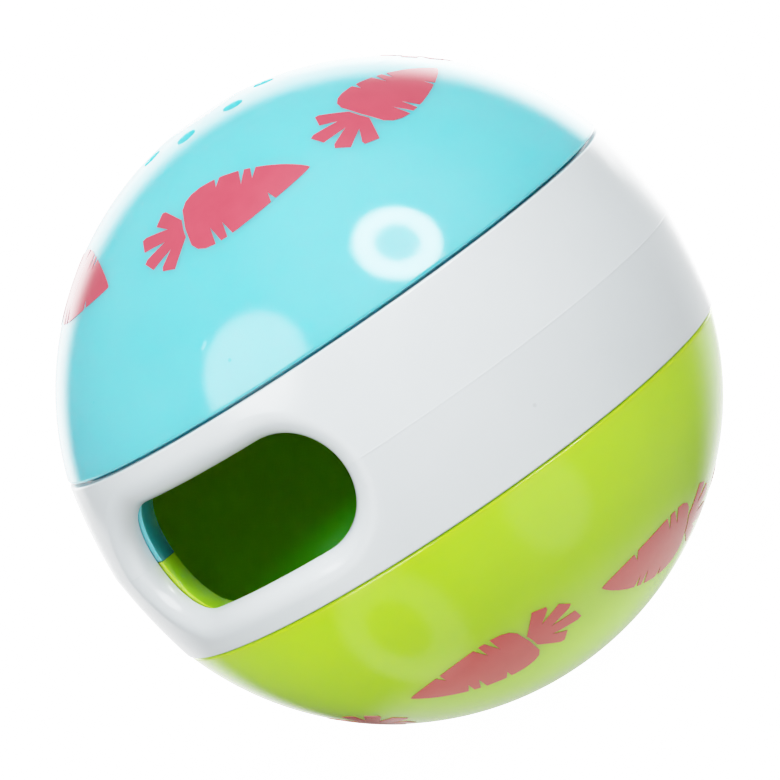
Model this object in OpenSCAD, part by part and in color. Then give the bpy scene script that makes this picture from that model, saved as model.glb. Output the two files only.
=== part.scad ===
// Treat dispensing ball for small animals: two half shells plug together inside a
// white ring, and the ring turns on their necks to open or close the treat opening.
// The origin is the middle of the lower pole's flat, on which the ball stands. +Z runs
// along the axis to the upper shell's pole, and the shells' own cut-out faces -Y.

/* [Ball] */
// Outer diameter of the ball
ball_d = 75; // [66:0.5:90]
// Wall thickness of the two shells
wall = 2; // [1.6:0.1:2.6]
// Diameter of the small flat at each pole
pole_flat_d = 9.1; // [7:0.1:12]
// How far the lower shell is set in all round at the seam, where the ring stands proud
lower_inset = 0.3; // [0:0.05:0.5]
// Rounding of each shell's edge at its seam
seam_edge_r = 0.4; // [0.2:0.05:0.7]

/* [Ring] */
// Height of the band between the two shells' shoulders
band_h = 23.6; // [22:0.2:26]
// Open seam between the ring and the upper shell's shoulder
upper_seam_gap = 0.35; // [0.1:0.05:0.5]
// Open seam between the ring and the lower shell's shoulder
lower_seam_gap = 0.12; // [0.05:0.01:0.3]
// How far the ring's waist lies inside the ball's sphere
ring_waist_inset = 0.18; // [0.05:0.01:0.3]
// How far the ring's two edges lie inside the ball's sphere
ring_edge_inset = 0.1; // [0:0.01:0.3]
// Bulge of the ring's outside between its waist and either edge
ring_crown = 0.26; // [0.1:0.01:0.4]
// Thickness of the ring at its thinner edge
ring_edge_t = 1.4; // [1:0.1:1.8]
// Rounding of the ring's outer edges
ring_edge_r = 0.4; // [0.2:0.05:0.7]

/* [Treat opening] */
// Length of the ring's opening, measured along the bore
opening_l = 32.3; // [24:0.1:36]
// Height of the ring's opening
opening_h = 13.8; // [11:0.1:15]
// Radius of the rounded lip round the opening
lip_r = 2.6; // [1.6:0.1:2.8]
// How far the ring is turned from the place where it uncovers the whole cut-out
ring_turn = -3.6; // [-8:0.1:8]
// How much wider the shells' cut-out is than the ring's opening, on every side
cut_margin = 0.85; // [0.4:0.05:1.5]

/* [Necks] */
// Wall thickness of the necks that carry the ring
neck_wall = 2; // [1.8:0.1:2.6]
// Radial running clearance between the ring's bore and the necks
ring_fit = 0.1; // [0.05:0.01:0.1]
// Height of the lap by which the lower neck plugs into the upper one
lap_h = 4; // [3:0.1:6]
// Radial clearance in the lap
lap_fit = 0.05; // [0.02:0.01:0.1]
// Clearance above the lap, and at the two ends where it keys the shells
lap_end_gap = 0.2; // [0.1:0.05:0.4]
// Distance by which the lap stops short of the cut-out
lap_stop = 4; // [3:0.5:8]
// Gap between the faces of the two necks at the waist
butt_gap = 0.05; // [0.02:0.01:0.1]

/* [Vents] */
// Number of vent holes round each pole
vent_n = 8; // [4:1:10]
// Diameter of a vent hole
vent_d = 2.3; // [1.5:0.1:3]
// Diameter of the circle that the vent holes lie on
vent_circle_d = 16.1; // [15.4:0.1:20]
// Angle from the cut-out to the first vent hole
vent_turn = 16.4; // [0:0.1:45]

/* [Printed carrots] */
// Number of carrots printed round each shell
print_n = 6; // [3:1:6]
// Length of a carrot with its leaves
print_l = 21.5; // [17:0.5:22]
// Greatest width of a carrot
print_w = 8.8; // [6:0.1:10]
// Length of a carrot's leaves
leaf_l = 6.2; // [5:0.1:7.5]
// Width of one leaf near its end
leaf_w = 1.9; // [1.2:0.1:2.2]
// Bare line between a carrot and its leaves
leaf_gap = 0.3; // [0.2:0.05:0.6]
// Thickness of the ink film
ink_t = 0.05; // [0.02:0.01:0.1]
// Latitude of the carrots' middles on the upper shell
upper_print_lat = 51; // [46:0.5:52]
// Latitude of the carrots' middles on the lower shell
lower_print_lat = 50.5; // [46:0.5:52]
// Angle from the cut-out to the middle of the upper shell's first carrot
upper_print_turn = 27; // [0:0.5:60]
// Angle from the cut-out to the middle of the lower shell's first carrot
lower_print_turn = 19; // [0:0.5:60]
// How far the carrots stray from their even places, as a multiple of the usual
print_stray = 1; // [0:0.1:1.2]

/* [Hidden] */
$fn = 180;
// Overrun of every cutting shape past the face that it cuts
over = 2;
degrees_per_radian = 180 / PI;
// Number of cones that make up the crown of each half of the ring
crown_steps = 4;

// Shells
ball_r = ball_d / 2;
lower_r = ball_r - lower_inset;
shoulder_z = band_h / 2;
// Height of the ball's centre, about which the shapes are drawn, above the lower flat
centre_h = lower_inset + radius_at(lower_r, pole_flat_d / 2);

// Ring: the waist point, both edge points, and the crown arcs between them
ring_top_z = shoulder_z - upper_seam_gap;
ring_foot_z = shoulder_z - lower_seam_gap;
ring_waist_r = ball_r - ring_waist_inset;
ring_foot_r = radius_at(ball_r - ring_edge_inset, ring_foot_z);
ring_top_r = radius_at(ball_r - ring_edge_inset, ring_top_z);
bore_r = ring_foot_r - ring_edge_t;

// Necks and the lap between them
neck_r = bore_r - ring_fit;
neck_in_r = neck_r - neck_wall;
lap_r = (neck_r + neck_in_r - lap_fit) / 2;

// Half sizes of the two openings, and the half angles that their straight edges span
opening_half_h = opening_h / 2;
opening_half_angle = (opening_l / 2 - opening_half_h) / bore_r * degrees_per_radian;
cut_half_h = opening_half_h + cut_margin;
cut_half_angle = opening_half_angle;
lap_half_angle = cut_half_angle + (cut_half_h + lap_stop) / lap_r * degrees_per_radian;
lap_end_angle = lap_end_gap / lap_r * degrees_per_radian;

// Carrot: the body's outline swells fast from the shoulder and tapers to the tip
body_l = print_l - leaf_l - leaf_gap;
body_points = 14;
swell_share = 0.24;
taper_share = 0.84;
widest_share = swell_share / (swell_share + taper_share);
// Notches: place along the body, depth as a share of the half width, and side
notch_shares = [[0.34, 0.3, 1], [0.53, 0.6, 1], [0.62, 0.5, 1],
                [0.22, 0.55, -1], [0.32, 0.5, -1], [0.7, 0.5, -1]];
notch_half_w = 0.42;
notch_slant = 0.5;
// Leaves: direction from the carrot's axis, and length as a share of the longest
leaf_shares = [[-54, 0.8], [-20, 1], [12, 0.96], [46, 0.82]];
leaf_base_share = 0.6;
leaf_tip_share = 0.75;
leaf_shoulder_share = 0.92;

// Stray of each printed carrot from its even place: [turn, latitude, tilt]
upper_strays = [[0, 0, -5], [-4, -1, -1], [-1, 0.5, -3],
                [2, -0.5, 1], [-2, 1, -4], [-5.5, 1.5, -2]];
lower_strays = [[2, -1.5, -2], [0, 0.5, 0], [-1, 0, -3],
                [1.5, 1, 2], [-1, -0.5, -2], [-2, 0, 0]];

// Radius of a sphere's slice at height z
function radius_at(r, z) = sqrt(r * r - z * z);

// Arc bulging outwards by sag between points p and q: [centre x, centre y, radius]
function crown_arc(p, q, sag) =
    let (chord = norm(q - p),
         r = (chord * chord / 4 + sag * sag) / (2 * sag),
         inward = [p.y - q.y, q.x - p.x] / chord)
    let (centre = (p + q) / 2 + inward * (r - sag))
    [centre.x, centre.y, r];

// Centre of a rounding of radius r between an arc and the level line y = level.
// side is 1 for a rounding that lies above the line and -1 for one below it.
function rounding_centre(arc, r, level, side) =
    let (y = level + side * r)
    [arc.x + sqrt(pow(arc.z - r, 2) - pow(y - arc.y, 2)), y];

// Point a distance past the arc, straight out from a rounding's centre
function outside_point(arc, c, past) =
    let (away = c - [arc.x, arc.y])
    [arc.x, arc.y] + away / norm(away) * (arc.z + past);

// Half width of the carrot's body at a share t of its length
function half_width(t) =
    print_w / 2 * pow(t / widest_share, swell_share)
    * pow((1 - t) / (1 - widest_share), taper_share);

upper_crown = crown_arc([ring_waist_r, 0], [ring_top_r, ring_top_z], ring_crown);
lower_crown = crown_arc([ring_waist_r, 0], [ring_foot_r, ring_foot_z], ring_crown);

// Sharp corner outside a rounding of radius r, between an arc and a level line
module corner(arc, r, level, side) {
    c = rounding_centre(arc, r, level, side);
    tip = outside_point(arc, c, over);
    difference() {
        polygon([c, [c.x, level - side * over], [tip.x, level - side * over], tip]);
        translate(c)
            circle(r = r);
    }
}

// Slot with round ends, cut towards the axis and wrapped round it, facing -Y.
// The child is the half section above its middle: radius from the axis, then height.
module wrapped_slot(half_angle) {
    rotate([0, 0, -90 - half_angle])
        rotate_extrude(angle = 2 * half_angle) {
            children();
            mirror([0, 1])
                children();
        }
    for (side = [-1, 1])
        rotate([0, 0, -90 + side * half_angle])
            rotate([0, 90, 0])
                rotate([0, 0, 90 * side])
                    rotate_extrude()
                        mirror([1, -1])
                            children();
}

// Half section of one shell, pole upwards. The sphere of radius r has its centre at
// rise, and the child is the outline of the neck, cut off inside the shell's wall.
module shell_section(r, rise) {
    difference() {
        union() {
            difference() {
                intersection() {
                    translate([0, rise])
                        circle(r = r);
                    translate([0, shoulder_z])
                        square([r, rise + radius_at(r, pole_flat_d / 2) - shoulder_z]);
                }
                translate([0, rise])
                    circle(r = r - wall);
            }
            intersection() {
                translate([0, rise])
                    circle(r = r - wall / 2);
                children();
            }
        }
        corner([0, rise, r], seam_edge_r, shoulder_z, 1);
    }
}

// Sector of a tube, from one angle to another, counted anticlockwise from -Y
module sector(from, to, r_in, r_out, z, h) {
    rotate([0, 0, from - 90])
        rotate_extrude(angle = to - from)
            translate([r_in, z])
                square([r_out - r_in, h]);
}

module vents() {
    for (i = [0 : vent_n - 1])
        rotate([0, 0, -90 + vent_turn + i * 360 / vent_n])
            translate([vent_circle_d / 2, 0, ball_r - wall - over])
                cylinder(d = vent_d, h = wall + 2 * over);
}

module cut_out() {
    wrapped_slot(cut_half_angle)
        translate([neck_in_r - over, 0])
            square([neck_wall + 2 * over, cut_half_h]);
}

module lower_shell() {
    color("#B2D61E")
        translate([0, 0, centre_h])
            difference() {
                mirror([0, 0, 1])
                    rotate_extrude()
                        shell_section(lower_r, lower_inset)
                            polygon([[neck_in_r, -lap_h], [lap_r, -lap_h], [lap_r, 0],
                                     [neck_r, 0], [neck_r, lower_r],
                                     [neck_in_r, lower_r]]);
                cut_out();
                mirror([0, 0, 1])
                    vents();
                sector(-lap_half_angle, lap_half_angle, neck_in_r - over, lap_r + over,
                       0, lap_h + over);
            }
}

module upper_shell() {
    color("#82DCE4")
        translate([0, 0, centre_h])
            difference() {
                rotate_extrude()
                    shell_section(ball_r, 0)
                        translate([neck_in_r, butt_gap])
                            square([neck_wall, ball_r]);
                cut_out();
                vents();
                sector(lap_half_angle - lap_end_angle,
                       360 - lap_half_angle + lap_end_angle,
                       neck_in_r - over, lap_r + lap_fit,
                       -over, over + lap_h + lap_end_gap);
            }
}

// Point on an arc at height y
function on_arc(arc, y) = [arc.x + sqrt(pow(arc.z, 2) - pow(y - arc.y, 2)), y];

// Half of the ring's section above its waist
module ring_half_section(crown, edge_z) {
    difference() {
        polygon(concat(
            [[bore_r, edge_z], [bore_r, 0]],
            [for (i = [0 : crown_steps]) on_arc(crown, edge_z * i / crown_steps)]
        ));
        corner(crown, ring_edge_r, edge_z, -1);
    }
}

module opening_ring() {
    color("#DDE1E4")
        translate([0, 0, centre_h])
            rotate([0, 0, ring_turn])
                difference() {
                    rotate_extrude() {
                        ring_half_section(upper_crown, ring_top_z);
                        mirror([0, 1])
                            ring_half_section(lower_crown, ring_foot_z);
                    }
                    wrapped_slot(opening_half_angle) {
                        translate([bore_r - over, 0])
                            square([ring_waist_r - bore_r + 2 * over, opening_half_h]);
                        corner(upper_crown, lip_r, opening_half_h, 1);
                    }
                }
}

// Outline of the carrot's body, from its shoulder at the origin to its tip along +X
module body_outline() {
    along = [for (i = [0 : body_points]) (1 - cos(180 * i / body_points)) / 2];
    polygon(concat(
        [for (t = along) [t * body_l, half_width(t)]],
        [for (i = [body_points - 1 : -1 : 1]) [along[i] * body_l, -half_width(along[i])]]
    ));
}

module carrot_body() {
    difference() {
        body_outline();
        for (n = notch_shares)
            let (x = n[0] * body_l, w = half_width(n[0]))
                polygon([[x - notch_half_w, n[2] * (w + notch_half_w)],
                         [x + notch_half_w, n[2] * (w + notch_half_w)],
                         [x - notch_slant, n[2] * w * (1 - n[1])]]);
    }
}

// Leaves fan out behind the shoulder, and a bare line sets them off from the body
module carrot_leaves() {
    difference() {
        for (leaf = leaf_shares)
            let (l = leaf_l * leaf[1])
                rotate(180 + leaf[0])
                    polygon([[0, -leaf_w * leaf_base_share / 2],
                             [l * leaf_shoulder_share, -leaf_w / 2],
                             [l, -leaf_w * leaf_tip_share / 2],
                             [l * leaf_shoulder_share, leaf_w / 2],
                             [0, leaf_w * leaf_base_share / 2]]);
        translate([-leaf_gap, 0])
            body_outline();
    }
}

// Carrots printed in a row on a sphere of radius r. side is 1 for the upper shell, where
// the tips point anticlockwise round the axis, and -1 for the lower one, clockwise.
module print_row(r, side, lat, turn, strays) {
    intersection() {
        difference() {
            sphere(r = r + ink_t);
            sphere(r = r);
        }
        for (i = [0 : print_n - 1])
            let (stray = print_stray * strays[i])
                rotate([0, 0, turn + stray[0] + i * 360 / print_n])
                    rotate([-side * (lat + stray[1]), 0, 0])
                        rotate([90, 0, 0])
                            rotate([0, 0, 90 * (1 - side) + stray[2]])
                                translate([print_l / 2 - body_l, 0, r - print_l / 4])
                                    linear_extrude(print_l / 4 + over) {
                                        carrot_body();
                                        carrot_leaves();
                                    }
    }
}

module upper_prints() {
    color("#DC6982")
        translate([0, 0, centre_h])
            print_row(ball_r, 1, upper_print_lat, upper_print_turn, upper_strays);
}

module lower_prints() {
    color("#C1675F")
        translate([0, 0, centre_h - lower_inset])
            print_row(lower_r, -1, lower_print_lat, lower_print_turn, lower_strays);
}

lower_shell();
upper_shell();
opening_ring();
lower_prints();
upper_prints();
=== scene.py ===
import math
import bmesh
import bpy
from mathutils import Matrix, Vector


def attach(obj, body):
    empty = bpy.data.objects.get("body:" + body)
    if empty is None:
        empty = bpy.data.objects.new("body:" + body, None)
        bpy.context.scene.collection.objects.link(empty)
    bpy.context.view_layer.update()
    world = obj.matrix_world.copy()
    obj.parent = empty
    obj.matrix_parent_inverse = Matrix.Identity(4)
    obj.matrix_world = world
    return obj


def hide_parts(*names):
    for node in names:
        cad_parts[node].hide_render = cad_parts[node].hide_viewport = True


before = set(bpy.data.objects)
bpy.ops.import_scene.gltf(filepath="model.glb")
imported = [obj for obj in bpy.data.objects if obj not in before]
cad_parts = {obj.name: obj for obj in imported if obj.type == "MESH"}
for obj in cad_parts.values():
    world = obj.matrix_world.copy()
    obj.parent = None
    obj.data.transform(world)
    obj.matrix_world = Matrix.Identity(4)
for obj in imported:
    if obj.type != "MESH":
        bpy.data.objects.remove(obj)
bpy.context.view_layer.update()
print("frame loaded:", ", ".join(sorted(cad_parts)))

mm = 0.001
weld = 0.002  # points that lie closer than this, in mm, become one
near = 0.003  # and a point this near to a surface lies on it
slack = 0.01  # for picking points and faces by their place

# Sizes are in millimetres and angles in degrees. A shape is made round the ball's
# centre, and finishPiece lifts it so that the lower pole's flat stands on the floor.
ball = dict(
    radius=37.5,
    wall=2,
    lowerInset=0.3,  # the lower half is this much smaller all round
    flatRadius=4.55,
    neckOuter=34.029,
    neckInner=32.029,
    shoulder=11.8,
    front=-90,  # the way the opening faces
)
lowerRadius = ball["radius"] - ball["lowerInset"]
centreHeight = ball["lowerInset"] + math.sqrt(lowerRadius ** 2 - ball["flatRadius"] ** 2)


def turned(degrees, axis="Z"):
    return Matrix.Rotation(math.radians(degrees), 4, axis)


def moveOut(vert, radius):  # to a new distance from the ball's axis
    old = math.hypot(vert.co.x, vert.co.y)
    vert.co.x *= radius / old
    vert.co.y *= radius / old


def fromFront(point):  # degrees round the axis from the way the opening faces
    turn = math.degrees(math.atan2(point.y, point.x)) - ball["front"]
    return (turn + 180) % 360 - 180


def newLoop(result):  # the edges that an extrusion made beside the old ones
    verts = {v for v in result["geom"] if isinstance(v, bmesh.types.BMVert)}
    edges = [e for e in result["geom"] if isinstance(e, bmesh.types.BMEdge)]
    return list(verts), [e for e in edges if all(v in verts for v in e.verts)]


def chain(bm, points):  # a profile in the XZ plane
    verts = [bm.verts.new((x, 0, z)) for x, z in points]
    for pair in zip(verts, verts[1:]):
        bm.edges.new(pair)


def arcPoints(centre, radius, start, end, steps):
    turns = [math.radians(start + (end - start) * k / steps) for k in range(steps + 1)]
    return [(centre[0] + radius * math.cos(t), centre[1] + radius * math.sin(t)) for t in turns]


def addMesh(bm, other):  # puts one bmesh into another
    mesh = bpy.data.meshes.new("spare")
    other.to_mesh(mesh)
    other.free()
    bm.from_mesh(mesh)
    bpy.data.meshes.remove(mesh)


def cutAway(bm, tool):
    objects = []
    for name, source in (("stock", bm), ("cutter", tool)):
        mesh = bpy.data.meshes.new(name)
        source.to_mesh(mesh)
        source.free()
        objects.append(bpy.data.objects.new(name, mesh))
        bpy.context.scene.collection.objects.link(objects[-1])
    cut = objects[0].modifiers.new("cut", "BOOLEAN")
    cut.operation = "DIFFERENCE"
    cut.solver = "EXACT"
    cut.object = objects[1]
    depsgraph = bpy.context.evaluated_depsgraph_get()
    mesh = bpy.data.meshes.new_from_object(objects[0].evaluated_get(depsgraph))
    result = bmesh.new()
    result.from_mesh(mesh)
    bpy.data.meshes.remove(mesh)
    for spare in objects:
        mesh = spare.data
        bpy.data.objects.remove(spare)
        bpy.data.meshes.remove(mesh)
    return result


# Shading follows the true surface where trueNormal knows it, and the mesh elsewhere.
def finishPiece(bm, name, body, node, materials, trueNormal, sharp=35):
    bmesh.ops.recalc_face_normals(bm, faces=bm.faces)
    mesh = bpy.data.meshes.new(name)
    bm.to_mesh(mesh)
    bm.free()
    mesh.shade_smooth()
    mesh.set_sharp_from_angle(angle=math.radians(sharp))
    normals = [corner.vector.copy() for corner in mesh.corner_normals]
    for face in mesh.polygons:
        for corner in face.loop_indices:
            point = mesh.vertices[mesh.loops[corner].vertex_index].co
            better = trueNormal(point, face.center)
            if better is not None and better.dot(face.normal) > 0.9:  # not on a side wall
                normals[corner] = better
    mesh.normals_split_custom_set(normals)
    mesh.transform(Matrix.Scale(mm, 4) @ Matrix.Translation((0, 0, centreHeight)))
    for material in materials:
        mesh.materials.append(material)
    piece = bpy.data.objects.new(name, mesh)
    bpy.context.scene.collection.objects.link(piece)
    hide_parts(node)
    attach(piece, body)
    print(name, "has", len(mesh.polygons), "faces")


# the camera
view = dict(
    turn=37.4,
    height=6.44,
    roll=34.23,  # the ball lies over to the right in the picture
    distance=0.50325,  # metres from the ball's centre
    lens=206.8,
    sensor=36,
    nearest=0.01,
)
centre = Vector((0, 0, centreHeight * mm))
turn, height, roll = (math.radians(view[key]) for key in ("turn", "height", "roll"))
camBack = Vector((
    math.sin(turn) * math.cos(height), -math.cos(turn) * math.cos(height), math.sin(height)))
levelRight = Vector((math.cos(turn), math.sin(turn), 0))
levelUp = camBack.cross(levelRight)
camRight = math.cos(roll) * levelRight - math.sin(roll) * levelUp
camUp = math.sin(roll) * levelRight + math.cos(roll) * levelUp

camera = bpy.data.objects.new("camera", bpy.data.cameras.new("camera"))
camera.data.lens = view["lens"]
camera.data.sensor_width = view["sensor"]
camera.data.clip_start = view["nearest"]
camera.matrix_world = Matrix.Translation(centre + camBack * view["distance"]) @ Matrix(
    (camRight, camUp, camBack)).transposed().to_4x4()
bpy.context.scene.collection.objects.link(camera)
bpy.context.scene.camera = camera
print("camera placed")


def inCamera(across, up):  # a direction from the ball, in degrees to the right and up
    a, e = math.radians(across), math.radians(up)
    return math.cos(e) * (math.sin(a) * camRight + math.cos(a) * camBack) + math.sin(e) * camUp


# the plastics and inks
def addNode(tree, kind, **values):
    node = tree.nodes.new("ShaderNode" + kind)
    for key, value in values.items():
        if hasattr(node, key):
            setattr(node, key, value)
        else:
            node.inputs[key.replace("_", " ")].default_value = value
    return node


def plastic(name, look):
    material = bpy.data.materials.new(name)
    material.use_nodes = True
    tree = material.node_tree
    link = tree.links.new
    shader = tree.nodes["Principled BSDF"]
    place = addNode(tree, "TexCoord").outputs["Object"]

    def noise(scale, detail, rough):
        texture = addNode(tree, "TexNoise", Scale=scale, Detail=detail, Roughness=rough)
        link(place, texture.inputs["Vector"])
        return texture.outputs["Fac"]

    def ranged(value, low, high, toLow, toHigh):
        node = addNode(tree, "MapRange", From_Min=low, From_Max=high, To_Min=toLow, To_Max=toHigh)
        link(value, node.inputs["Value"])
        return node.outputs["Result"]

    def mixed(amount, first, second):
        node = addNode(tree, "Mix", data_type="RGBA")
        link(amount, node.inputs["Factor"])
        for socket, colour in (("A_Color", first), ("B_Color", second)):
            target = next(i for i in node.inputs if i.identifier == socket)
            if isinstance(colour, tuple):
                target.default_value = (*colour, 1)
            else:
                link(colour, target)
        return next(o for o in node.outputs if o.identifier == "Result_Color")

    def maths(operation, first, second):
        node = addNode(tree, "Math", operation=operation)
        for value, socket in zip((first, second), node.inputs):
            if isinstance(value, (int, float)):
                socket.default_value = value
            else:
                link(value, socket)
        return node.outputs[0]

    def apart(value, middle):
        return maths("ABSOLUTE", maths("SUBTRACT", value, middle), 0)

    def bumped(height, strength, depth, under=None):
        node = addNode(tree, "Bump", Strength=strength, Distance=depth)
        link(height, node.inputs["Height"])
        if under is not None:
            link(under, node.inputs["Normal"])
        return node.outputs["Normal"]

    # soft flow marks in the colour, and a few specks in the raw plastic
    flow = ranged(noise(*look["flow"]), *look["flowRange"], 0, 1)
    colour = mixed(flow, look["colour"], look["flowColour"])
    cells = addNode(tree, "TexVoronoi", Scale=look["speckScale"])
    link(place, cells.inputs["Vector"])
    size = look["speckSize"]
    speck = ranged(cells.outputs["Distance"], size, size * look["speckCore"], 0, 1)
    colour = mixed(speck, colour, look["speckColour"])
    axes = addNode(tree, "SeparateXYZ")
    link(place, axes.inputs["Vector"])
    fromWaist = apart(axes.outputs["Z"], centreHeight * mm)
    if look["neckShadeColour"]:
        # painted shade: the neck's cut faces, between its two skins, are painted darker to stand
        # for the shade that falls on them inside the ring's opening
        flat = addNode(tree, "VectorMath", operation="MULTIPLY")
        link(place, flat.inputs[0])
        flat.inputs[1].default_value = (1, 1, 0)
        fromAxis = addNode(tree, "VectorMath", operation="LENGTH")
        link(flat.outputs["Vector"], fromAxis.inputs[0])
        middle, half = (ball["neckInner"] + ball["neckOuter"]) / 2 * mm, ball["wall"] / 2 * mm
        fade = [half * share for share in look["neckShadeFade"]]
        between = ranged(apart(fromAxis.outputs["Value"], middle), *fade, 0, 1)
        shoulder = ball["shoulder"] * mm
        under = ranged(fromWaist, shoulder, shoulder - look["shoulderFade"], 0, 1)
        colour = mixed(maths("MULTIPLY", between, under), colour, look["neckShadeColour"])
    link(colour, shader.inputs["Base Color"])

    # fine rubbed marks that make the gloss uneven
    gloss = look["roughness"]
    rubbed = ranged(noise(*look["rub"]), *look["rubRange"], gloss, gloss + look["rubbed"])
    link(rubbed, shader.inputs["Roughness"])

    # the skin's slight waviness, with hairline scratches where a stretched noise crosses a level
    stretch = addNode(tree, "Mapping")
    stretch.inputs["Rotation"].default_value = look["scratchTurn"]
    stretch.inputs["Scale"].default_value = (1, look["scratchLength"], 1)
    link(place, stretch.inputs["Vector"])
    streak = addNode(
        tree, "TexNoise", Scale=look["scratchScale"], Detail=look["scratchDetail"])
    link(stretch.outputs["Vector"], streak.inputs["Vector"])
    skin = bumped(noise(*look["wave"]), look["waveStrength"], look["waveDepth"])
    hairline = ranged(streak.outputs["Fac"], *look["scratchRange"], 0, 1)
    skin = bumped(hairline, look["scratchStrength"], look["scratchDepth"], skin)
    if look["partingLine"]:
        # the mould's parting line round the waist stands a hair proud
        line = ranged(fromWaist, look["partingWidth"], 0, 0, 1)
        skin = bumped(line, 1.0, look["partingLine"], skin)
    link(skin, shader.inputs["Normal"])

    shader.inputs["IOR"].default_value = look["ior"]
    shader.inputs["Subsurface Weight"].default_value = look["through"]
    shader.inputs["Subsurface Radius"].default_value = look["throughRadius"]
    shader.inputs["Subsurface Scale"].default_value = look["throughScale"]
    return material


cyanLook = dict(
    colour=(0.085, 0.49, 0.61),
    flowColour=(0.10, 0.515, 0.635),
    flow=(90, 3.0, 0.55),  # a noise's scale, detail and roughness
    flowRange=(0.3, 0.7),
    speckScale=70,
    speckSize=0.022,  # as a share of the distance between specks
    speckCore=0.6,  # the share of a speck that has its full colour
    speckColour=(0.03, 0.42, 0.52),
    # the painted shade on the neck's cut faces, seen inside the ring's opening
    neckShadeColour=(0.008, 0.125, 0.125),
    neckShadeFade=(0.97, 0.9),  # where it fades, as shares of half the wall
    shoulderFade=0.0002,  # and in metres below the shoulder
    roughness=0.06,
    rubbed=0.06,  # rubbed places are this much rougher
    rub=(900, 6.0, 0.7),
    rubRange=(0.35, 0.7),
    wave=(160, 2.0, 0.5),
    waveStrength=0.05,
    waveDepth=0.0002,
    scratchScale=130,
    scratchDetail=1.0,
    scratchLength=0.12,  # the noise's scale along a scratch, as a share of that across it
    scratchTurn=(0.5, 0.2, 0.9),
    scratchRange=(0.735, 0.75),
    scratchStrength=0.35,
    scratchDepth=0.00005,
    partingLine=0,  # how far the mould's parting line stands out, in metres
    partingWidth=0.00016,
    ior=1.49,
    through=0.8,  # how much light goes through, and how far in each colour
    throughRadius=(0.15, 1.0, 1.0),
    throughScale=0.006,
)
greenLook = dict(
    cyanLook,
    colour=(0.365, 0.645, 0.003),
    flowColour=(0.385, 0.675, 0.004),
    speckColour=(0.20, 0.42, 0.003),
    # the painted shade on the neck's cut faces, seen inside the ring's opening
    neckShadeColour=(0.17, 0.38, 0.003),
    throughRadius=(0.36, 0.42, 0.05),
    throughScale=0.01,
)
ringLook = dict(
    cyanLook,
    colour=(0.52, 0.56, 0.58),
    flowColour=(0.535, 0.575, 0.595),
    speckColour=(0.45, 0.48, 0.5),
    neckShadeColour=None,
    roughness=0.14,
    partingLine=0.00002,
    through=0.1,
    throughRadius=(1.0, 1.0, 1.0),
    throughScale=0.0008,
)
inkOnCyanLook = dict(
    cyanLook,
    colour=(0.41, 0.044, 0.070),
    flowColour=(0.44, 0.050, 0.077),
    speckColour=(0.50, 0.06, 0.10),
    neckShadeColour=None,
    flow=(400, 3.0, 0.55),
    roughness=0.14,
    rubbed=0.04,
    through=0.0,
)
inkOnGreenLook = dict(
    inkOnCyanLook,
    colour=(0.49, 0.042, 0.034),
    flowColour=(0.52, 0.048, 0.040),
    speckColour=(0.38, 0.06, 0.05),
)
cyanPlastic = plastic("cyan plastic", cyanLook)
greenPlastic = plastic("green plastic", greenLook)
whitePlastic = plastic("white plastic", ringLook)
inkOnCyan = plastic("pink ink on cyan", inkOnCyanLook)
inkOnGreen = plastic("pink ink on green", inkOnGreenLook)
print("materials made")

# the two halves, both modelled with the pole up
halfShape = dict(
    capRadius=10.6,  # the part round the pole that holds the vents
    segments=256,
    arcSteps=56,
    arcShort=0.4,  # the ball's arc stops this many degrees before the seam's round edge
    seamRound=0.3,
    seamSteps=6,
    shoulderRow=0.3,  # a row on the shoulder, this far out from the neck
    neckRound=0.15,
    neckSteps=3,
    neckRows=(2.2, 7.45, 9.5),  # rows of the neck, above the waist
    poleRow=5.1,  # rows between the vents and the pole, from the axis
    innerRows=(4.8, 4.5),
    flatRows=(4, 3, 1.5, 0),
    roundFrom=4.85,  # both skins are plain spheres from this radius on
    grooveRadius=4.6,  # fine line round the flat
    grooveWidth=0.16,
    grooveDepth=0.06,
)
vents = dict(
    count=8,
    radius=1.15,
    circle=8.05,
    turn=16.4,
    rim=0.14,  # rounding of the holes' edges
    rimSteps=3,
    rings=(1.45, 1.85),  # rows of faces round each hole
    across=32,
    along=12,
    cuts=3,
)
lap = dict(radius=33.004, height=4, start=35.93)  # plug on the lower half's neck
recess = dict(radius=33.054, height=4.2, start=35.58, overlap=1)  # its seat in the upper half's
cutOut = dict(
    halfHeight=7.75,
    halfAngle=15.53,
    edge=0.2,
    flare=(3, 0.6),  # how much wider the cutter is, in edges, off the neck's faces and on them
    outward=6,
    inward=1,
    alongSteps=24,
    roundSteps=48,
)


def surfaceHeight(half, radius, inside=False):
    size = half["radius"] - (ball["wall"] if inside else 0)
    out = radius if inside else max(radius, ball["flatRadius"])
    return half["lift"] + math.sqrt(size ** 2 - out ** 2)


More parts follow.
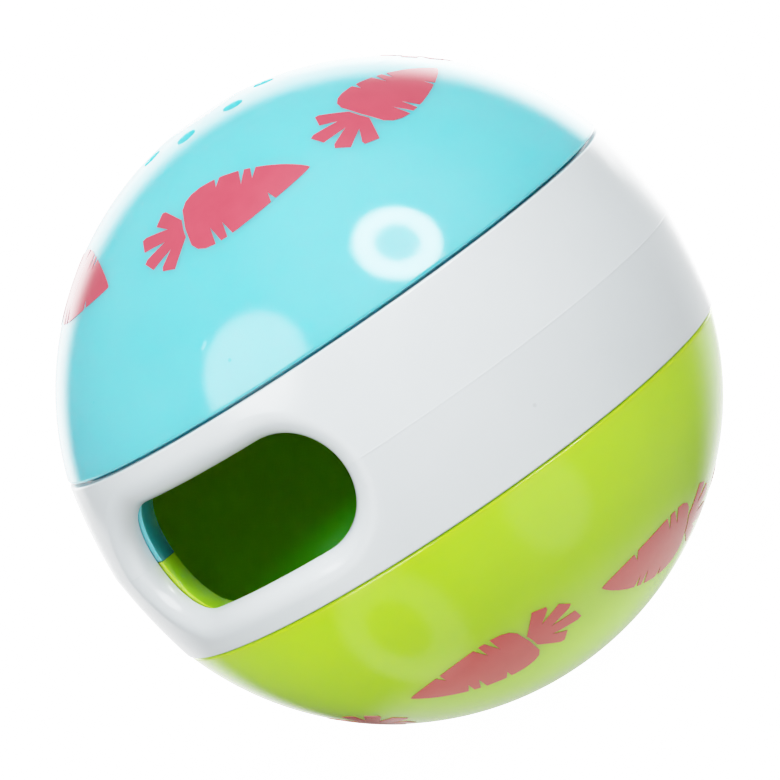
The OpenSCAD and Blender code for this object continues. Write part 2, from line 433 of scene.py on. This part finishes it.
def ventCap(half):
    cap = bmesh.new()
    bmesh.ops.create_grid(cap, x_segments=vents["across"], y_segments=vents["along"], size=1)
    middle = [v for v in cap.verts if not v.is_boundary]
    bmesh.ops.delete(cap, geom=middle, context="VERTS")
    border = cap.edges[:]
    reach = halfShape["capRadius"] - vents["circle"]
    wedge = math.pi / vents["count"]
    for v in cap.verts:
        out, aside = vents["circle"] + v.co.y * reach, v.co.x * wedge
        v.co = (out * math.cos(aside), out * math.sin(aside), 0)
    where = Matrix.Translation((vents["circle"], 0, 0))
    hole = bmesh.ops.create_circle(
        cap, segments=2 * (vents["across"] + vents["along"]), radius=vents["radius"], matrix=where)
    loop = list({e for v in hole["verts"] for e in v.link_edges})
    size = vents["radius"]
    for wider in vents["rings"]:
        verts, loop = newLoop(bmesh.ops.extrude_edge_only(cap, edges=loop))
        bmesh.ops.scale(
            cap, vec=(wider / size, wider / size, 1), verts=verts, space=where.inverted())
        size = wider
    bridge = bmesh.ops.bridge_loops(cap, edges=loop + border)
    known = set(loop + border)
    across = [e for e in bridge["edges"] if e not in known]
    bmesh.ops.subdivide_edges(cap, edges=across, cuts=vents["cuts"], use_grid_fill=True)
    bmesh.ops.spin(
        cap, geom=cap.verts[:] + cap.edges[:] + cap.faces[:], axis=(0, 0, 1), cent=(0, 0, 0),
        angle=math.tau * (vents["count"] - 1) / vents["count"], steps=vents["count"] - 1,
        use_duplicate=True)
    bmesh.ops.remove_doubles(cap, verts=cap.verts, dist=weld)

    # the inner skin, with the vents' walls between
    down = newLoop(bmesh.ops.extrude_face_region(cap, geom=cap.faces[:]))[0]
    bmesh.ops.translate(cap, verts=down, vec=(0, 0, -ball["wall"]))
    inner, outer = vents["circle"] - reach + slack, halfShape["capRadius"] - slack
    sides = [f for f in cap.faces if all(v.co.xy.length < inner for v in f.verts)
             or all(v.co.xy.length > outer for v in f.verts)]
    bmesh.ops.delete(cap, geom=sides, context="FACES")

    def onRim(v):
        pitch = math.tau / vents["count"]
        spoke = round(math.atan2(v.co.y, v.co.x) / pitch) * pitch
        hub = Vector((vents["circle"] * math.cos(spoke), vents["circle"] * math.sin(spoke)))
        return abs((v.co.xy - hub).length - vents["radius"]) < 2 * slack

    level = [e for e in cap.edges if e.verts[0].co.z == e.verts[1].co.z]
    rims = [e for e in level if all(onRim(v) for v in e.verts)]
    bmesh.ops.bevel(
        cap, geom=rims, offset=vents["rim"], segments=vents["rimSteps"], profile=0.5,
        affect="EDGES", material=-1)
    for v in cap.verts:
        inside = v.co.z < -ball["wall"] / 2
        v.co.z += surfaceHeight(half, v.co.xy.length, inside) + (ball["wall"] if inside else 0)
    return cap


def halfProfile(half):
    size, lift, shoulder = half["radius"], half["lift"], ball["shoulder"]
    inner = size - ball["wall"]
    cap, steps = halfShape["capRadius"], halfShape["arcSteps"]

    # the rounded edge at the seam touches the ball and the flat shoulder
    rnd = halfShape["seamRound"]
    edgeZ = shoulder + rnd
    edgeR = math.sqrt((size - rnd) ** 2 - (edgeZ - lift) ** 2)
    touch = math.degrees(math.atan2(edgeZ - lift, edgeR))
    start = math.degrees(math.acos(cap / size))
    outside = arcPoints((0, lift), size, start, touch + halfShape["arcShort"], steps)
    edge = arcPoints((edgeR, edgeZ), rnd, touch, -90, halfShape["seamSteps"])

    end, outer, bore = half["neckEnd"], ball["neckOuter"], ball["neckInner"]
    rnd, rows = halfShape["neckRound"], halfShape["neckRows"]
    neck = [(outer + halfShape["shoulderRow"], shoulder), (outer, shoulder), (outer, rows[-1])]
    neck += arcPoints((outer - rnd, end + rnd), rnd, 0, -90, halfShape["neckSteps"])
    neck += [(half["stepRadius"], end), (bore, end)]
    neck += [(bore, z) for z in sorted((recess["height"], *rows))]
    meet = math.degrees(math.acos(bore / inner))
    inside = arcPoints((0, lift), inner, meet, math.degrees(math.acos(cap / inner)), steps)
    return outside + edge + neck + inside


def poleProfile(half, inside):
    last = vents["circle"] * 2 - halfShape["capRadius"]
    g, w = halfShape["grooveRadius"], halfShape["grooveWidth"] / 2
    rows = halfShape["innerRows"] if inside else (g + 2 * w, g + w, g, g - w, g - 2 * w)
    radii = [last, halfShape["poleRow"], *rows, *halfShape["flatRows"]]
    groove = {g: halfShape["grooveDepth"]}
    return [(r, surfaceHeight(half, r, inside) - groove.get(r, 0)) for r in radii]


def slotTool():  # cuts the neck away behind the ring's opening
    # the cutter flares at both of the neck's faces, which softens the cut's edges
    edge, wall = cutOut["edge"], ball["neckOuter"] - ball["neckInner"]
    off, on = (edge * flare for flare in cutOut["flare"])
    layers = [(cutOut["outward"], off), (0, on), (-edge, 0),
              (edge - wall, 0), (-wall, on), (-wall - cutOut["inward"], off)]
    tool = bmesh.new()
    length = math.radians(cutOut["halfAngle"]) * ball["neckOuter"]
    stadium(tool, length, cutOut["halfHeight"], cutOut["alongSteps"], cutOut["roundSteps"])
    verts, loop = tool.verts[:], tool.edges[:]
    bmesh.ops.edgeloop_fill(tool, edges=loop)
    for depth, wider in layers:
        if verts[0].co.z != 0 or depth != layers[0][0]:
            verts, loop = newLoop(bmesh.ops.extrude_edge_only(tool, edges=loop))
        for v in verts:
            hub = max(-length, min(length, v.co.x))
            away = Vector((v.co.x - hub, v.co.y)).normalized() * (cutOut["halfHeight"] + wider)
            v.co = (hub + away.x, away.y, depth)
    bmesh.ops.edgeloop_fill(tool, edges=loop)
    for v in tool.verts:
        hub = max(-length, min(length, v.co.x))
        aside, radius = v.co.x - hub, ball["neckOuter"] + v.co.z
        radius = math.sqrt(radius ** 2 - aside ** 2)
        v.co = turned(math.degrees(hub / ball["neckOuter"])) @ Vector((radius, aside, v.co.y))
    bmesh.ops.recalc_face_normals(tool, faces=tool.faces)
    if tool.calc_volume(signed=True) < 0:
        bmesh.ops.reverse_faces(tool, faces=tool.faces)
    bmesh.ops.rotate(tool, verts=tool.verts, cent=(0, 0, 0), matrix=turned(ball["front"]))
    return tool


def stadium(bm, halfLength, radius, alongSteps, roundSteps):
    left, right = (bm.verts.new((x, radius, 0)) for x in (-halfLength, halfLength))
    bmesh.ops.subdivide_edges(bm, edges=[bm.edges.new((left, right))], cuts=alongSteps - 1)
    end = max(bm.verts, key=lambda v: v.co.x)
    bmesh.ops.spin(
        bm, geom=[end], cent=(halfLength, 0, 0), axis=(0, 0, -1), angle=math.pi, steps=roundSteps)
    bmesh.ops.spin(
        bm, geom=bm.verts[:] + bm.edges[:], cent=(0, 0, 0), axis=(0, 0, 1), angle=math.pi, steps=1,
        use_duplicate=True)
    bmesh.ops.remove_doubles(bm, verts=bm.verts, dist=weld)


def pullOut(bm, faces):  # extrudes faces and leaves nothing of them behind
    edges = {e for f in faces for e in f.edges}
    return newLoop(bmesh.ops.extrude_face_region(bm, geom=faces + list(edges)))[0]


def neckFaces(bm, low, high, inner, outer, start):  # faces of the neck away from the opening
    chosen = []
    for face in bm.faces:
        middle = face.calc_center_median()
        if low - weld < middle.z < high + weld and inner - slack < middle.xy.length < outer:
            if all(abs(fromFront(v.co)) > start for v in face.verts):
                chosen.append(face)
    return chosen


def makeHalf(half):
    bm = bmesh.new()
    chain(bm, halfProfile(half))
    chain(bm, poleProfile(half, inside=False))
    chain(bm, poleProfile(half, inside=True))
    bmesh.ops.spin(
        bm, geom=bm.verts[:] + bm.edges[:], cent=(0, 0, 0), axis=(0, 0, 1), angle=math.tau,
        steps=halfShape["segments"], use_merge=True)
    addMesh(bm, ventCap(half))
    bmesh.ops.remove_doubles(bm, verts=bm.verts, dist=weld)
    toFront = turned(ball["front"] + vents["turn"])
    bmesh.ops.rotate(bm, verts=bm.verts, cent=(0, 0, 0), matrix=toFront)
    return bm


def addLap(bm, half):
    end = half["neckEnd"]
    faces = neckFaces(bm, end, end, ball["neckInner"], lap["radius"], lap["start"])
    bmesh.ops.translate(bm, verts=pullOut(bm, faces), vec=(0, 0, -lap["height"]))


def addRecess(bm, half):
    end, top = half["neckEnd"], recess["height"]
    bore, start = ball["neckInner"], recess["start"] - recess["overlap"]
    for v in pullOut(bm, neckFaces(bm, end, top, bore - slack, bore + slack, start)):
        moveOut(v, recess["radius"])
    spare = neckFaces(bm, end, end, bore, recess["radius"], start)
    bmesh.ops.delete(bm, geom=spare, context="FACES")
    bmesh.ops.remove_doubles(bm, verts=bm.verts, dist=weld)


def halfNormal(half, flip):
    hub = Vector((0, 0, half["lift"] * flip))

    def normal(point, middle):
        away = point - hub
        if middle.xy.length > halfShape["roundFrom"]:
            if abs(away.length - half["radius"]) < near:
                return away.normalized()
            if abs(away.length - half["radius"] + ball["wall"]) < near:
                return -away.normalized()
        if abs(point.xy.length - ball["neckOuter"]) < near and abs(middle.z) < ball["shoulder"]:
            return Vector((point.x, point.y, 0)).normalized()
        if abs(point.xy.length - ball["neckInner"]) < near:
            return -Vector((point.x, point.y, 0)).normalized()
        return None

    return normal


upperHalf = dict(
    radius=ball["radius"], lift=0, neckEnd=0.05, stepRadius=recess["radius"])
lowerHalf = dict(
    radius=lowerRadius, lift=ball["lowerInset"], neckEnd=0, stepRadius=lap["radius"])

upper = makeHalf(upperHalf)
addRecess(upper, upperHalf)
upper = cutAway(upper, slotTool())
finishPiece(
    upper, "upper_half_shell", "upper_half", "upper_shell", [cyanPlastic],
    halfNormal(upperHalf, 1))

lower = makeHalf(lowerHalf)
addLap(lower, lowerHalf)
bmesh.ops.scale(lower, verts=lower.verts, vec=(1, 1, -1))
bmesh.ops.recalc_face_normals(lower, faces=lower.faces)
lower = cutAway(lower, slotTool())
finishPiece(
    lower, "lower_half_shell", "lower_half", "lower_shell", [greenPlastic],
    halfNormal(lowerHalf, -1))
print("halves made")

# the ring between the halves
ring = dict(
    bore=34.129,
    waist=37.32,
    topZ=11.45,
    topRadius=35.604,
    footZ=11.68,
    footRadius=35.529,
    crown=0.26,
    edgeRound=0.25,
    edgeSteps=5,
    boreRound=0.15,
    boreSteps=3,
    turn=-3.6,
    halfHeight=6.9,
    halfAngle=15.53,
    lip=2.6,  # radius of the opening's rounded lip
    lipHub=33.4,  # its middle lies this far from the axis
    lipTop=102.2,  # and it turns this far before it meets the outside
    lipSteps=14,
    lipTries=12,  # rounds of reckoning that find where it meets the bore
    patch=12,  # width of the patch at each end of the opening
    unrolled=100,  # length of the rest of the band, before it is wrapped round
    alongSteps=24,
    roundSteps=48,
    rows=24,
    columns=108,
    cuts=2,
)


def crownArc(z, radius):  # centre and radius of the arc from the waist to an edge
    chord = math.hypot(z, ring["waist"] - radius)
    size = (chord * chord / 4 + ring["crown"] ** 2) / (2 * ring["crown"])
    reach = size - ring["crown"]
    middle = ((ring["waist"] + radius) / 2, z / 2)
    inward = (-z / chord, (radius - ring["waist"]) / chord)
    return middle[0] + inward[0] * reach, middle[1] + inward[1] * reach, size


topArc = crownArc(ring["topZ"], ring["topRadius"])
footArc = crownArc(ring["footZ"], ring["footRadius"])


def ringOuter(z):
    x, y, size = topArc if z >= 0 else footArc
    return x + math.sqrt(size ** 2 - (abs(z) - y) ** 2)


def lipPoint(aside, step):
    # aside turns round the end of the opening, and step goes from the outside to the bore
    size, hub = ring["lip"], ring["lipHub"]
    cos, sin = math.cos(aside), math.sin(aside)
    last = 0
    for _ in range(ring["lipTries"]):
        out = ring["halfHeight"] + size * (1 - math.cos(last))
        last = math.asin((math.sqrt(ring["bore"] ** 2 - (out * cos) ** 2) - hub) / size)
    first = math.radians(ring["lipTop"])
    out = ring["halfHeight"] + size * (1 - math.cos(first))
    skin = math.sqrt(ringOuter(out * sin) ** 2 - (out * cos) ** 2)
    short = skin - hub - size * math.sin(first)
    angle = first + (last - first) * step
    out = ring["halfHeight"] + size * (1 - math.cos(angle))
    return out, hub + size * math.sin(angle) + short * (1 - step) ** 2


def ringSheet(inside):
    sheet = bmesh.new()
    bore = ring["bore"]
    length = math.radians(ring["halfAngle"]) * bore
    wide = length + ring["patch"]
    across = ring["alongSteps"] + ring["roundSteps"] - ring["rows"]
    bmesh.ops.create_grid(sheet, x_segments=across, y_segments=ring["rows"], size=1)
    bmesh.ops.delete(sheet, geom=[v for v in sheet.verts if not v.is_boundary], context="VERTS")
    bmesh.ops.scale(sheet, verts=sheet.verts, vec=(wide, 1, 1))
    for v in sheet.verts:
        v.co.y *= ring["topZ"] if v.co.y > 0 else ring["footZ"]
    border = sheet.edges[:]

    opening = bmesh.new()
    stadium(opening, length, 1, ring["alongSteps"], ring["roundSteps"])
    for v in opening.verts:
        hub = max(-length, min(length, v.co.x))
        aside = math.atan2(v.co.y, abs(v.co.x - hub))
        out = lipPoint(aside, 1 if inside else 0)[0]
        v.co.x, v.co.y = hub + (v.co.x - hub) * out, v.co.y * out
    addMesh(sheet, opening)
    known = set(border)
    loop = [e for e in sheet.edges if e not in known]
    bridge = bmesh.ops.bridge_loops(sheet, edges=loop + border)
    known.update(loop)
    bmesh.ops.subdivide_edges(
        sheet, edges=[e for e in bridge["edges"] if e not in known], cuts=ring["cuts"],
        use_grid_fill=True)
    if not inside:
        loop = [e for e in sheet.edges if e.is_boundary and all(
            abs(v.co.x) < wide - slack and abs(v.co.y) < ring["topZ"] - slack for v in e.verts)]
        for step in range(ring["lipSteps"]):
            verts, loop = newLoop(bmesh.ops.extrude_edge_only(sheet, edges=loop))
            bmesh.ops.translate(sheet, verts=verts, vec=(0, 0, 1 / ring["lipSteps"]))

    # the rest of the way round, as one grid on each side
    for side in (-1, 1):
        band = bmesh.new()
        bmesh.ops.create_grid(band, x_segments=ring["columns"], y_segments=ring["rows"], size=1)
        for v in band.verts:
            v.co.x = side * (wide + (v.co.x + 1) / 2 * ring["unrolled"])
            v.co.y *= ring["topZ"] if v.co.y > 0 else ring["footZ"]
        addMesh(sheet, band)
    bmesh.ops.remove_doubles(sheet, verts=sheet.verts, dist=weld)

    for v in sheet.verts:  # wrap it round the axis
        side = math.copysign(1, v.co.x)
        hub = min(length, abs(v.co.x))
        aside = abs(v.co.x) - hub
        radius = bore if inside else ringOuter(v.co.y)
        base = math.degrees(hub / bore)
        if v.co.z > 0:
            turn = math.atan2(v.co.y, aside)
            out, away = lipPoint(turn, v.co.z)
            point = Vector((away, out * math.cos(turn), out * math.sin(turn)))
        elif aside <= ring["patch"] + weld:
            point = Vector((math.sqrt(radius ** 2 - aside ** 2), aside, v.co.y))
        else:
            joint = math.degrees(math.asin(ring["patch"] / radius))
            part = (aside - ring["patch"]) / ring["unrolled"]
            base += joint + (180 - base - joint) * part
            point = Vector((radius, 0, v.co.y))
        point = turned(base) @ point
        v.co = (point.x, point.y * side, point.z)
    return sheet


def ringNormal(point, middle):
    radius = point.xy.length
    flat = Vector((point.x, point.y, 0)).normalized()
    if abs(radius - ring["bore"]) < near:
        return -flat
    if abs(radius - ringOuter(point.z)) < near:
        x, y, size = topArc if middle.z >= 0 else footArc
        up = (abs(point.z) - y) / size * math.copysign(1, middle.z)
        return (flat * (ringOuter(point.z) - x) / size + Vector((0, 0, up))).normalized()
    return None


def makeRing():
    bm = ringSheet(inside=False)
    addMesh(bm, ringSheet(inside=True))
    bmesh.ops.remove_doubles(bm, verts=bm.verts, dist=near)
    for side in (-1, 1):
        rims = [e for e in bm.edges if e.is_boundary and e.verts[0].co.z * side > ring["topZ"] - 1]
        bmesh.ops.bridge_loops(bm, edges=rims)
    bmesh.ops.recalc_face_normals(bm, faces=bm.faces)

    def roundRim(z, radius, size, segments):
        rim = [e for e in bm.edges if all(
            abs(v.co.z - z) < weld and abs(v.co.xy.length - radius) < slack for v in e.verts)]
        bmesh.ops.bevel(
            bm, geom=rim, offset=size, segments=segments, profile=0.5, affect="EDGES", material=-1)

    for z, radius in ((ring["topZ"], ring["topRadius"]), (-ring["footZ"], ring["footRadius"])):
        roundRim(z, radius, ring["edgeRound"], ring["edgeSteps"])
        roundRim(z, ring["bore"], ring["boreRound"], ring["boreSteps"])
    bmesh.ops.rotate(
        bm, verts=bm.verts, cent=(0, 0, 0), matrix=turned(ball["front"] + ring["turn"]))
    return bm


finishPiece(
    makeRing(), "opening_band", "ring", "opening_ring", [whitePlastic], ringNormal)
print("ring made")

# the printed carrots, which lie on the halves as a thin film of ink
ink = dict(
    thick=0.05,
    sunk=0.06,  # how deep its back lies in the plastic
    flat=0.05,  # faces that turn from each other by less than this are joined
    longestEdge=0.75,  # longer ones are halved, so that the film follows the ball
    halvings=3,
)


def makePrints(name, node, body, material, half, flip):
    bm = bmesh.new()
    bm.from_mesh(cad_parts[node].data)
    toCentre = Matrix.Translation((0, 0, -centreHeight)) @ Matrix.Scale(1 / mm, 4)
    bmesh.ops.transform(bm, verts=bm.verts, matrix=toCentre)
    bmesh.ops.remove_doubles(bm, verts=bm.verts, dist=weld)
    bmesh.ops.dissolve_limit(
        bm, angle_limit=math.radians(ink["flat"]), verts=bm.verts, edges=bm.edges)
    bmesh.ops.triangulate(bm, faces=bm.faces)
    for _ in range(ink["halvings"]):
        long = [e for e in bm.edges if e.calc_length() > ink["longestEdge"]]
        if long:
            bmesh.ops.subdivide_edges(bm, edges=long, cuts=1)
            bmesh.ops.triangulate(bm, faces=bm.faces)
    hub = Vector((0, 0, half["lift"] * flip))
    for v in bm.verts:
        away = v.co - hub
        top = away.length > half["radius"] + ink["thick"] / 2
        v.co = hub + away.normalized() * (half["radius"] + (ink["thick"] if top else -ink["sunk"]))

    def normal(point, middle):
        away = point - hub
        return away.normalized() if away.length > half["radius"] else None

    finishPiece(bm, name, body, node, [material], normal)


makePrints(
    "carrots_on_cyan", "upper_prints", "upper_half", inkOnCyan,
    upperHalf, 1)
makePrints(
    "carrots_on_green", "lower_prints", "lower_half", inkOnGreen,
    lowerHalf, -1)
print("prints made")

# The studio: soft round patches of light on the sky and on the floor, each given as a
# direction from the ball, the two angles between which its edge fades, and its power
studio = dict(
    ambient=0.22,
    backdrop=(179, 8, 42, 27, 2.6),
    hotSpot=(165, 14, 27, 5, 1.6),
    dimSpot=(180, 4, 20, 6, -1.3),  # straight behind, so that the ball's edge shows
    behind=(176, 6, 34, 8, 1.8),
    behindRight=(140, -14, 48, 10, 1.2),
    behindLeft=(190, -25, 40, 8, 1.1),
    dish=(3.4, 50.6, 14.6, 12.2, 19.0),
    dishHole=(3.4, 50.6, 8.2, 5.4, -14.5),
    softbox=(-46, 5, 21.5, 17, 6.5),
    ceiling=(-8, 55, 48, 20, 1.0),
    lowFill=(-28, -35, 24, 12, 1.6),
    window=(41.5, -25, 12, 7, 0.6),
    rightFill=(45, -20, 48, 15, 0.25),
    mirroredDish=(3, -60, 16, 11, 0.6),
    mirroredHole=(3, -60, 8, 5, -0.5),
    card=(40, 30, 0.55),  # a white card on the floor, round the ball's foot
    floorSize=40,
    floorPaint=0.2,
    floorSeen=2.2,  # what the camera itself sees of the floor and of the backdrop
    backdropSeen=2.6,
)


def patch(name):
    across, up, start, end, power = studio[name]
    return inCamera(across, up), start, end, power


def glowing(tree, look, base, patches):
    total = base
    for direction, start, end, power in patches:
        dot = addNode(tree, "VectorMath", operation="DOT_PRODUCT")
        tree.links.new(look, dot.inputs[0])
        dot.inputs[1].default_value = direction
        ramp = addNode(tree, "MapRange", interpolation_type="SMOOTHSTEP")
        tree.links.new(dot.outputs["Value"], ramp.inputs["Value"])
        ramp.inputs["From Min"].default_value = math.cos(math.radians(start))
        ramp.inputs["From Max"].default_value = math.cos(math.radians(end))
        add = addNode(tree, "Math", operation="MULTIPLY_ADD")
        tree.links.new(ramp.outputs["Result"], add.inputs[0])
        add.inputs[1].default_value = power
        if total is base:
            add.inputs[2].default_value = base
        else:
            tree.links.new(total, add.inputs[2])
        total = add.outputs[0]
    return total


def forCamera(tree, others, camera, kind):  # one shader for the camera's eye, one for the rest
    mix = addNode(tree, "MixShader")
    tree.links.new(addNode(tree, "LightPath").outputs["Is Camera Ray"], mix.inputs["Fac"])
    tree.links.new(others.outputs[0], mix.inputs[1])
    tree.links.new(camera.outputs[0], mix.inputs[2])
    out = tree.nodes.new("ShaderNodeOutput" + kind)
    tree.links.new(mix.outputs[0], out.inputs["Surface"])


# the room: plain white for the camera, with a bright backdrop and ceiling for the ball
room = bpy.data.worlds.new("studio")
bpy.context.scene.world = room
room.use_nodes = True
tree = room.node_tree
tree.nodes.clear()
outside = addNode(tree, "Background")
seen = addNode(tree, "Background", Strength=studio["backdropSeen"])
for shade in (outside, seen):
    shade.inputs["Color"].default_value = (1, 1, 1, 1)
patches = [patch(name) for name in (
    "backdrop", "hotSpot", "dimSpot", "dish", "dishHole", "softbox", "ceiling", "lowFill")]
look = addNode(tree, "TexCoord").outputs["Generated"]
tree.links.new(glowing(tree, look, studio["ambient"], patches), outside.inputs["Strength"])
forCamera(tree, outside, seen, "World")


def paintAndGlow(tree, paint, power):
    diffuse = addNode(tree, "BsdfDiffuse", Color=(paint, paint, paint, 1))
    shine = addNode(tree, "Emission")
    if isinstance(power, (int, float)):
        shine.inputs["Strength"].default_value = power
    else:
        tree.links.new(power, shine.inputs["Strength"])
    both = addNode(tree, "AddShader")
    tree.links.new(diffuse.outputs[0], both.inputs[0])
    tree.links.new(shine.outputs[0], both.inputs[1])
    return both


# the floor has a white card round the ball's foot and mirrors the window and, faintly, the dish
floorPlan = bmesh.new()
bmesh.ops.create_grid(floorPlan, x_segments=1, y_segments=1, size=studio["floorSize"])
mesh = bpy.data.meshes.new("floor")
floorPlan.to_mesh(mesh)
floorPlan.free()
floorPaint = bpy.data.materials.new("floor paint")
floorPaint.use_nodes = True
tree = floorPaint.node_tree
tree.nodes.clear()
fromBall = addNode(tree, "VectorMath", operation="SUBTRACT")
tree.links.new(addNode(tree, "TexCoord").outputs["Object"], fromBall.inputs[0])
fromBall.inputs[1].default_value = centre
look = addNode(tree, "VectorMath", operation="NORMALIZE")
tree.links.new(fromBall.outputs[0], look.inputs[0])
patches = [patch(name) for name in (
    "behind", "behindRight", "behindLeft", "hotSpot", "dimSpot", "window", "rightFill", "lowFill",
    "mirroredDish", "mirroredHole")]
patches.append((Vector((0, 0, -1)), *studio["card"]))
forCamera(
    tree, paintAndGlow(tree, studio["floorPaint"], glowing(tree, look.outputs[0], 0, patches)),
    paintAndGlow(tree, studio["floorPaint"], studio["floorSeen"]), "Material")
mesh.materials.append(floorPaint)
floor = bpy.data.objects.new("floor", mesh)
bpy.context.scene.collection.objects.link(floor)

# bright parts roll off softly, as a camera's do
tone = dict(
    white=2.5,  # the light that comes out as white
    shoulder=1.72,  # how soon the curve bends
    points=(0.04, 0.1, 0.2, 0.35, 0.6),
)
settings = bpy.context.scene.view_settings
settings.view_transform = "Standard"
settings.use_curve_mapping = True
curve = settings.curve_mapping
curve.white_level = [tone["white"]] * 3
full = tone["white"] * tone["shoulder"]
for x in tone["points"]:
    curve.curves[3].points.new(x, (1 - math.exp(-full * x)) / (1 - math.exp(-full)))
curve.update()
print("studio lit")
